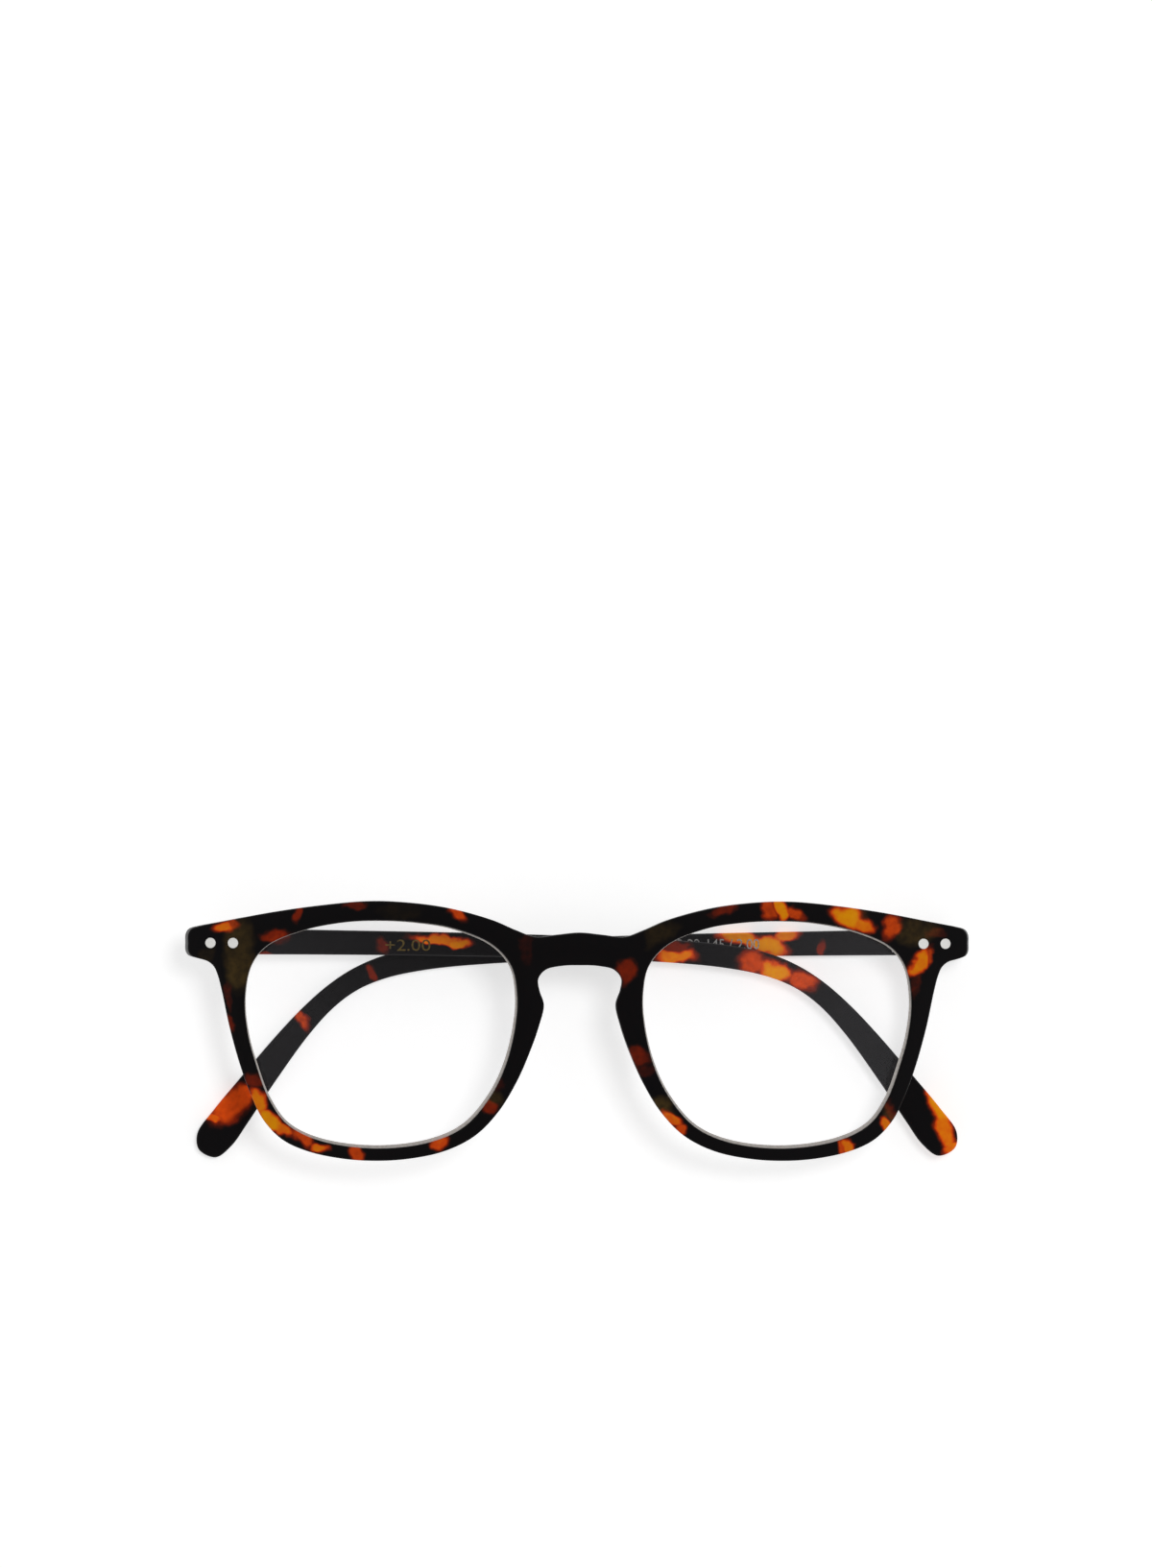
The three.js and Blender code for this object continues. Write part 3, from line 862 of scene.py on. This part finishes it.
# Patches of colour: (x, y, half length, half width, angle in degrees, strength). Strength runs
# from dull red through orange to amber. Places are those of the folded glasses, in millimetres.
FRONT_PATCHES = [
    (-63.3, 18.3, 2.1, 1.2, 0, 0.82), (-61.6, 18.9, 1.5, 1.1, 0, 0.6),
    (-54.4, 16.9, 3.2, 1.3, 5, 0.55), (-50.5, 20.5, 0.9, 1.9, 0, 0.53),
    (-40.2, 22.3, 3.0, 1.0, 8, 0.42), (-21.9, 20.7, 2.6, 1.4, -25, 0.68),
    (-9.7, 14.8, 1.8, 3.6, 0, 0.27), (-62.1, 5.6, 0.9, 2.8, 12, 0.36),
    (-61.9, 1.0, 0.9, 2.2, 12, 0.46), (-57.9, -8.9, 2.2, 1.6, 0, 0.46),
    (-57.0, -12.8, 3.0, 1.5, -68, 0.86), (-55.0, -16.0, 2.8, 1.6, -50, 0.96),
    (-52.8, -17.7, 2.2, 1.2, -38, 0.8), (-49.3, -19.4, 3.0, 1.5, -25, 0.69),
    (-45.8, -20.9, 1.9, 1.1, -15, 0.84), (-40.0, -21.8, 1.4, 2.0, 0, 0.67),
    (-24.6, -19.6, 1.8, 1.8, 30, 0.72), (-16.3, -13.5, 1.3, 2.0, 35, 0.52),
    (-15.0, -8.8, 2.0, 2.5, 60, 0.3), (8.2, 10.6, 1.9, 2.4, 0, 0.5),
    (26.0, 21.6, 3.2, 1.0, 12, 0.45), (33.9, 21.5, 1.3, 1.9, 0, 0.65),
    (36.2, 21.5, 1.6, 2.2, 0, 0.93), (38.6, 20.7, 2.5, 1.4, -35, 0.68),
    (47.6, 20.2, 3.4, 2.4, -18, 0.96), (50.6, 18.8, 2.4, 1.7, -25, 0.84),
    (55.5, 18.3, 1.8, 3.0, -12, 0.68), (63.6, 17.2, 2.4, 1.4, 0, 0.36),
    (60.7, 12.1, 3.3, 1.3, 45, 0.88), (62.7, 13.0, 1.6, 1.0, 45, 0.62),
    (60.0, 8.6, 0.9, 3.0, 0, 0.36), (10.2, -4.4, 2.6, 1.9, 0, 0.45),
    (11.5, -6.5, 2.6, 1.4, 0, 0.34), (16.2, -15.8, 2.1, 1.4, -45, 0.78),
    (17.6, -17.9, 1.5, 1.5, 0, 0.69), (47.0, -21.2, 1.0, 2.2, 0, 0.68),
    (47.9, -20.9, 1.1, 2.0, 0, 0.84), (54.5, -16.9, 1.4, 1.9, 20, 0.86),
    (56.0, -14.5, 1.4, 2.2, 20, 0.4),
]
FRONT_OLIVE = [
    (-60.6, 13.6, 2.6, 6.4, 0, 0.8), (-61.2, 9.9, 1.6, 2.6, 0, 1.0), (-66.3, 13.4, 1.5, 1.5, 0, 0.3),
    (14.3, 17.1, 3.4, 1.9, 35, 0.4), (60.2, 17.6, 3.8, 2.6, 0, 0.7), (14.8, -13.8, 2.4, 2.0, -50, 1.0),
    (49.8, 20.4, 1.6, 1.4, 0, 0.5), (-32.0, 21.0, 4.0, 1.5, 0, 0.2), (-15.6, -11.5, 1.6, 2.4, 40, 0.6),
    (55.6, -15.4, 1.2, 2.0, 20, 0.7),
]
RIGHT_PATCHES = [
    (-54.9, 16.7, 4.0, 1.3, 4, 0.46), (-56.3, 12.9, 4.2, 0.8, 0, 0.5), (-34.9, 15.0, 1.6, 2.0, 0, 0.42),
    (-24.6, 16.1, 6.0, 1.0, -6, 0.84), (-21.6, 15.6, 2.6, 0.9, -6, 0.9),
    (-17.4, 11.8, 4.5, 0.6, 0, 0.8), (17.7, 12.9, 3.7, 1.5, -3, 0.86), (17.2, 14.6, 4.0, 1.2, -3, 0.5),
    (31.6, 11.8, 3.0, 2.4, 0, 0.68), (35.6, 10.5, 3.3, 2.5, -20, 0.95),
    (40.1, 9.0, 3.3, 2.2, -28, 0.69), (64.8, -13.3, 5.2, 2.1, -68, 0.93),
    (66.2, -18.6, 4.2, 2.0, -72, 0.82), (67.5, -21.4, 2.4, 1.3, 30, 0.8),
]
LEFT_PATCHES = [
    (44.1, 14.8, 1.2, 1.5, 0, 0.52), (28.9, 16.9, 4.2, 1.7, -10, 0.92),
    (33.6, 15.3, 5.0, 1.8, -18, 0.95), (37.4, 16.9, 3.2, 1.3, 20, 0.86), (24.0, 14.2, 3.0, 1.2, 0, 0.5),
    (-36.5, 10.2, 1.0, 1.9, 20, 0.52), (-49.6, 2.3, 2.8, 1.1, -62, 0.64),
    (-62.8, -13.4, 5.2, 3.2, 40, 0.71), (-60.5, -11.5, 3.6, 2.6, 40, 0.7),
    (-66.0, -15.6, 1.9, 1.0, -20, 0.78),
]
TORTOISE_STOPS = [
    (0.0, (0.0040, 0.0036, 0.0040)), (0.12, (0.0052, 0.0037, 0.0040)), (0.28, (0.032, 0.006, 0.004)),
    (0.5, (0.18, 0.014, 0.003)), (0.7, (0.57, 0.057, 0.004)), (0.84, (0.64, 0.155, 0.003)),
    (1.0, (0.68, 0.265, 0.001)),
]
OLIVE = (0.044, 0.026, 0.005)
TEMPLE_PAINTED_LIFT = 1.3              # painted light: the temples' colours are lifted by this much to make up for the shade the front and the lenses cast on them
PATCH_SPREAD = 1.45            # how much further than its listed size a patch fades out
PATCH_CORE = 0.68              # how far in from there it reaches its full strength
PATCH_MELT = 0.15              # how softly patches run into each other
PATCH_FLOOR = 0.1              # what that softness adds where there is no patch


def patch_field(nodes, place, patches):
    """Greatest of the patches at a place: each is strongest in its middle and fades outward."""
    total = None
    for x, y, length, width, angle, strength in patches:
        local = nodes.new("ShaderNodeMapping", {
            "Vector": place, "Location": (x, y, 0), "Rotation": (0, 0, math.radians(angle)),
            "Scale": (length * PATCH_SPREAD, width * PATCH_SPREAD, 1000),
        }, vector_type="TEXTURE").outputs[0]
        ball = nodes.new("ShaderNodeTexGradient", {"Vector": local}, gradient_type="SPHERICAL")
        level = nodes.new("ShaderNodeMapRange", {
            "Value": ball.outputs["Fac"], "From Max": PATCH_CORE, "To Max": strength,
        }, interpolation_type="SMOOTHSTEP").outputs[0]
        total = level if total is None else nodes.math("SMOOTH_MAX", total, level, PATCH_MELT)
    return nodes.math("MULTIPLY_ADD", total, 1 + PATCH_FLOOR, -PATCH_FLOOR, clamp=True)


def tortoise(name, patches, olive, shift, painted_lift=1.0):
    nodes = Nodes(name)
    place = nodes.vector("ADD", nodes.millimetres(), shift)
    moved = place
    for scale, reach in ((0.25, 2.2), (0.8, 0.8), (2.0, 0.16)):
        drift = nodes.noise(place, scale, 0.0).outputs["Color"]
        drift = nodes.vector("SUBTRACT", drift, (0.5, 0.5, 0.5))
        moved = nodes.vector("ADD", moved, nodes.vector("SCALE", drift, scale=reach))
    level = patch_field(nodes, moved, patches)
    cloud = nodes.noise(place, 0.9, 3.0).outputs["Fac"]
    level = nodes.math("MULTIPLY_ADD", nodes.math("SUBTRACT", cloud, 0.5), 0.2, level, clamp=True)
    # Scaling the stops lifts the whole pattern: painted light for parts that lie in shade
    stops = [(height, [painted_lift * channel for channel in color]) for height, color in TORTOISE_STOPS]
    color = nodes.ramp(level, stops)
    if olive:
        tint = nodes.math("MULTIPLY", patch_field(nodes, moved, olive), cloud)
        tint = nodes.math("MULTIPLY", tint, 1.6, clamp=True)
        color = nodes.mix(1.0, color, nodes.mix(tint, (0, 0, 0), OLIVE), "ADD")
    grain = nodes.noise(place, 7.0, 2.0).outputs["Fac"]
    shader = nodes.new("ShaderNodeBsdfPrincipled", {
        "Base Color": color,
        "Roughness": nodes.math("MULTIPLY_ADD", grain, 0.08, 0.34),
        "Specular IOR Level": 0.07,
        "Normal": nodes.bump(grain, 0.04, 0.00003),
    })
    return nodes.finish(shader.outputs[0])


def metal(name, color, roughness, streaks, stretch, share=1.0):
    nodes = Nodes(name)
    place = nodes.millimetres()
    drawn = nodes.vector("MULTIPLY", place, stretch)
    brushed = nodes.noise(drawn, streaks, 3.0).outputs["Fac"]
    shade = nodes.ramp(brushed, [(0.25, [0.88 * c for c in color]), (0.75, color)])
    shader = nodes.new("ShaderNodeBsdfPrincipled", {
        "Base Color": shade, "Metallic": share,
        "Roughness": nodes.math("MULTIPLY_ADD", brushed, 0.16, roughness - 0.08),
        "Normal": nodes.bump(brushed, 0.08, 0.00002),
    })
    return nodes.finish(shader.outputs[0])


def clear_lens():
    nodes = Nodes("clear_lens")
    place = nodes.millimetres()
    haze = nodes.noise(place, 0.2, 2.0).outputs["Fac"]
    tint = nodes.ramp(haze, [(0.3, (0.997, 0.998, 0.998)), (0.7, (0.999, 0.999, 1.0))])
    through = nodes.new("ShaderNodeBsdfTransparent", {"Color": tint})
    gloss = nodes.new("ShaderNodeBsdfGlossy", {
        "Color": (0.030, 0.0295, 0.031, 1),
        "Roughness": nodes.math("MULTIPLY_ADD", haze, 0.02, 0.02),
    })
    both = nodes.new("ShaderNodeAddShader", {0: through.outputs[0], 1: gloss.outputs[0]})
    return nodes.finish(both.outputs[0])


def ground_edge():
    nodes = Nodes("ground_edge")
    place = nodes.millimetres()
    frost = nodes.noise(place, 2.5, 3.0).outputs["Fac"]
    color = nodes.ramp(frost, [(0.3, (0.44, 0.40, 0.37)), (0.7, (0.58, 0.55, 0.52))])
    shader = nodes.new("ShaderNodeBsdfPrincipled", {
        "Base Color": color, "Roughness": nodes.math("MULTIPLY_ADD", frost, 0.2, 0.4),
        "Specular IOR Level": 0.4, "Normal": nodes.bump(frost, 0.1, 0.00003),
    })
    return nodes.finish(shader.outputs[0])


def print_ink(name, color, roughness, metallic):
    nodes = Nodes(name)
    wear = nodes.noise(nodes.millimetres(), 3.5, 4.0).outputs["Fac"]
    tint = nodes.ramp(wear, [(0.3, [0.4 * c for c in color]), (0.6, color)])
    shader = nodes.new("ShaderNodeBsdfPrincipled", {
        "Base Color": tint, "Metallic": metallic,
        "Roughness": nodes.math("MULTIPLY_ADD", wear, 0.2, roughness),
    })
    return nodes.finish(shader.outputs[0])


def make_materials():
    hinge = {side: Vector(joints[f"{side}_fold"]["pos_m"]) / MM for side in ("right", "left")}
    shift = {side: (hinge[side].x, hinge[side].y, 0) for side in hinge}
    return {
        "front": tortoise("tortoise_front", FRONT_PATCHES, FRONT_OLIVE, (0, 0, 0)),
        # The temples' copies of the tortoise are painted lighter to make up for the shade on them
        "right": tortoise("tortoise_right", RIGHT_PATCHES, [], shift["right"], TEMPLE_PAINTED_LIFT),
        "left": tortoise("tortoise_left", LEFT_PATCHES, [], shift["left"], TEMPLE_PAINTED_LIFT),
        "lens": clear_lens(),
        "edge": ground_edge(),
        "rivet": metal("satin_rivet", (0.95, 0.94, 0.91), 0.38, 6.0, (1, 1, 1), 0.1),
        "plate": metal("plated_hinge", (0.62, 0.62, 0.63), 0.34, 5.0, (0.4, 3, 3)),
        "steel": metal("machined_steel", (0.56, 0.57, 0.59), 0.26, 6.0, (1, 6, 1)),
        "gold": print_ink("gold_foil", (0.16, 0.105, 0.02), 0.4, 0.4),
        "grey": print_ink("grey_print", (0.42, 0.41, 0.40), 0.55, 0.0),
    }


# Marks --------------------------------------------------------------------------------------

def text_shape(words, height):
    """Flat letters as thin solids, starting at the origin, with capitals of one height."""
    curve = bpy.data.curves.new("letters", "FONT")
    curve.body = words
    curve.size = height / 0.72
    curve.extrude = 0.015
    curve.resolution_u = 4
    obj = bpy.data.objects.new("letters", curve)
    bpy.context.scene.collection.objects.link(obj)
    bpy.context.view_layer.update()
    shape = as_shape(obj)
    bpy.data.objects.remove(obj)
    bpy.data.curves.remove(curve)
    return shape


def add_mark(side, words, start_x, y, height, squeeze, material):
    """Letters on a temple's inner face, read from the front when the glasses are folded."""
    hinge = Vector(joints[f"{side}_fold"]["pos_m"]) / MM
    points, faces = text_shape(words, height)
    laid = []
    for px, py, pz in points:
        x = start_x - hinge.x + px * squeeze
        surface = float(temple_inner_face(abs(x)))
        laid.append((x, y - hinge.y + py, surface + pz + 0.005))
    add_piece(f"mark_{side}", (laid, faces), ARM[side], f"{side}_arm", "tortoise", material)


# Assembly -----------------------------------------------------------------------------------

def squeeze_spring(piece):
    """Gives the spring a mesh of its own."""
    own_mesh(piece)


def build_glasses(looks):
    add_piece("front_fine", front_shape(), FRONT, "front", "tortoise", looks["front"], "front_frame")
    temple = temple_shape()
    arm_parts = [
        ("temple", temple, "arm", "tortoise", None),
        ("hinge_case", case_shape(), "arm", "hinge_plate", "plate"),
        ("hinge_spring", spring_shape(), "arm", "steel", "steel"),
        ("hinge_slider", slider_shape(), "slider", "steel", "steel"),
        ("hinge_spring_collar", collar_shape(), "slider", "steel", "steel"),
    ]
    hinge_parts = [
        ("hinge_front_plate", front_plate_shape(), "hinge_plate", "plate"),
        ("hinge_screw", screw_shape(), "steel", "steel"),
    ]
    for side in ("right", "left"):
        turn = mirrored if side == "left" else (lambda shape: shape)
        add_piece(f"lens_fine_{side}", lens_shape(side), FRONT, "front", "lens", looks["lens"],
                  f"lens_{side}")
        add_piece(f"lens_ground_edge_{side}", lens_bevel(side), FRONT, "front", "lens", looks["edge"])
        for part, shape, slot, look in hinge_parts:
            add_piece(f"{part}_fine_{side}", turn(shape), HINGE[side], "front", slot, looks[look],
                      f"{part}_{side}")
        for which, offset in RIVETS.items():
            add_piece(f"rivet_fine_{which}_{side}", rivet_shape(offset, side), HINGE[side], "front",
                      "rivet", looks["rivet"], f"rivet_{which}_{side}")
        for part, shape, body, slot, look in arm_parts:
            piece = add_piece(f"{part}_fine_{side}", turn(shape), ARM[side], f"{side}_{body}", slot,
                              looks[look or side], f"{part}_{side}")
            if part == "hinge_spring":
                squeeze_spring(piece)
    add_mark("right", "+2.00", -34.6, 14.1, 2.1, 1.25, looks["gold"])
    add_mark("left", "48-22-145 / 2.00", 16.5, 14.6, 1.9, 0.92, looks["grey"])


# Stage --------------------------------------------------------------------------------------

CAMERA_DISTANCE = 1500.0
VIEW_HEIGHT = 278.3            # what the picture's height covers at the front, in millimetres
VIEW_CENTRE = (-0.80, 43.81)   # what its centre looks at, from the middle of the front
ROLL = math.radians(0.11)
SENSOR = 36.0
FLOOR_HALF = 3.0               # in metres
FLOOR_SHADES = (0.59, 0.60)
FLOOR_GLOW = 0.59              # the floor is lit from within too, like a light table
FLOOR_DROP = 0.02
KEY_PLACE = (0.32, 0.29, 1.6)  # in metres: nearly overhead, to the upper right of the picture
KEY_SIZE = 0.34
KEY_RADIANCE = 23.5
# How bright the surround is, against the sine of the elevation: dim overhead, where the lenses
# mirror it, and bright around
SKY_STOPS = [(0.25, 0.74), (0.9, 0.38), (0.96, 0.22), (1.0, 0.1)]


def build_floor():
    half = FLOOR_HALF
    mesh = bpy.data.meshes.new("floor")
    corners = [(-half, -half, 0), (half, -half, 0), (half, half, 0), (-half, half, 0)]
    mesh.from_pydata(corners, [], [(0, 1, 2, 3)])
    nodes = Nodes("paper_floor")
    grain = nodes.noise(nodes.millimetres(), 0.4, 2.0).outputs["Fac"]
    color = nodes.ramp(grain, [(at, (shade,) * 3) for at, shade in zip((0.3, 0.7), FLOOR_SHADES)])
    shader = nodes.new("ShaderNodeBsdfPrincipled", {
        "Base Color": color, "Roughness": 0.9, "Specular IOR Level": 0.0,
        "Emission Color": (1, 1, 1, 1), "Emission Strength": FLOOR_GLOW,
    })
    mesh.materials.append(nodes.finish(shader.outputs[0]))
    floor = bpy.data.objects.new("floor", mesh)
    bpy.context.scene.collection.objects.link(floor)
    floor.location.z = -FLOOR_DROP * MM


def build_world():
    world = bpy.data.worlds.new("studio")
    bpy.context.scene.world = world
    world.use_nodes = True
    tree = world.node_tree
    tree.nodes.clear()
    coordinates = tree.nodes.new("ShaderNodeTexCoord")
    split = tree.nodes.new("ShaderNodeSeparateXYZ")
    ramp = tree.nodes.new("ShaderNodeValToRGB")
    background = tree.nodes.new("ShaderNodeBackground")
    output = tree.nodes.new("ShaderNodeOutputWorld")
    tree.links.new(coordinates.outputs["Generated"], split.inputs[0])
    tree.links.new(split.outputs["Z"], ramp.inputs["Fac"])
    tree.links.new(ramp.outputs["Color"], background.inputs["Color"])
    tree.links.new(background.outputs[0], output.inputs["Surface"])
    elements = ramp.color_ramp.elements
    for _ in range(len(SKY_STOPS) - len(elements)):
        elements.new(0.5)
    for element, (height, level) in zip(elements, SKY_STOPS):
        element.position = height
        element.color = (level, level, level, 1)
    background.inputs["Strength"].default_value = 1.0


def add_light(name, place, size, radiance):
    """Square soft light that faces the glasses and that nothing mirrors."""
    light = bpy.data.lights.new(name, "AREA")
    light.shape = "SQUARE"
    light.size = size
    light.energy = radiance * math.pi * size * size
    obj = bpy.data.objects.new(name, light)
    bpy.context.scene.collection.objects.link(obj)
    obj.location = place
    obj.rotation_mode = "QUATERNION"
    obj.rotation_quaternion = Vector(place).to_track_quat("Z", "Y")
    obj.visible_glossy = False


def build_camera():
    data = bpy.data.cameras.new("camera")
    data.sensor_fit = "AUTO"
    data.sensor_width = SENSOR
    data.lens = SENSOR * CAMERA_DISTANCE / VIEW_HEIGHT
    data.clip_start = 0.05
    data.clip_end = 20
    camera = bpy.data.objects.new("camera", data)
    bpy.context.scene.collection.objects.link(camera)
    centre = FRONT.translation
    camera.location = centre + Vector((VIEW_CENTRE[0], VIEW_CENTRE[1], CAMERA_DISTANCE)) * MM
    camera.rotation_euler = (0, 0, ROLL)
    bpy.context.scene.camera = camera


build_glasses(make_materials())
build_floor()
build_world()
add_light("key", KEY_PLACE, KEY_SIZE, KEY_RADIANCE)
build_camera()
bpy.context.scene.view_settings.view_transform = "Standard"
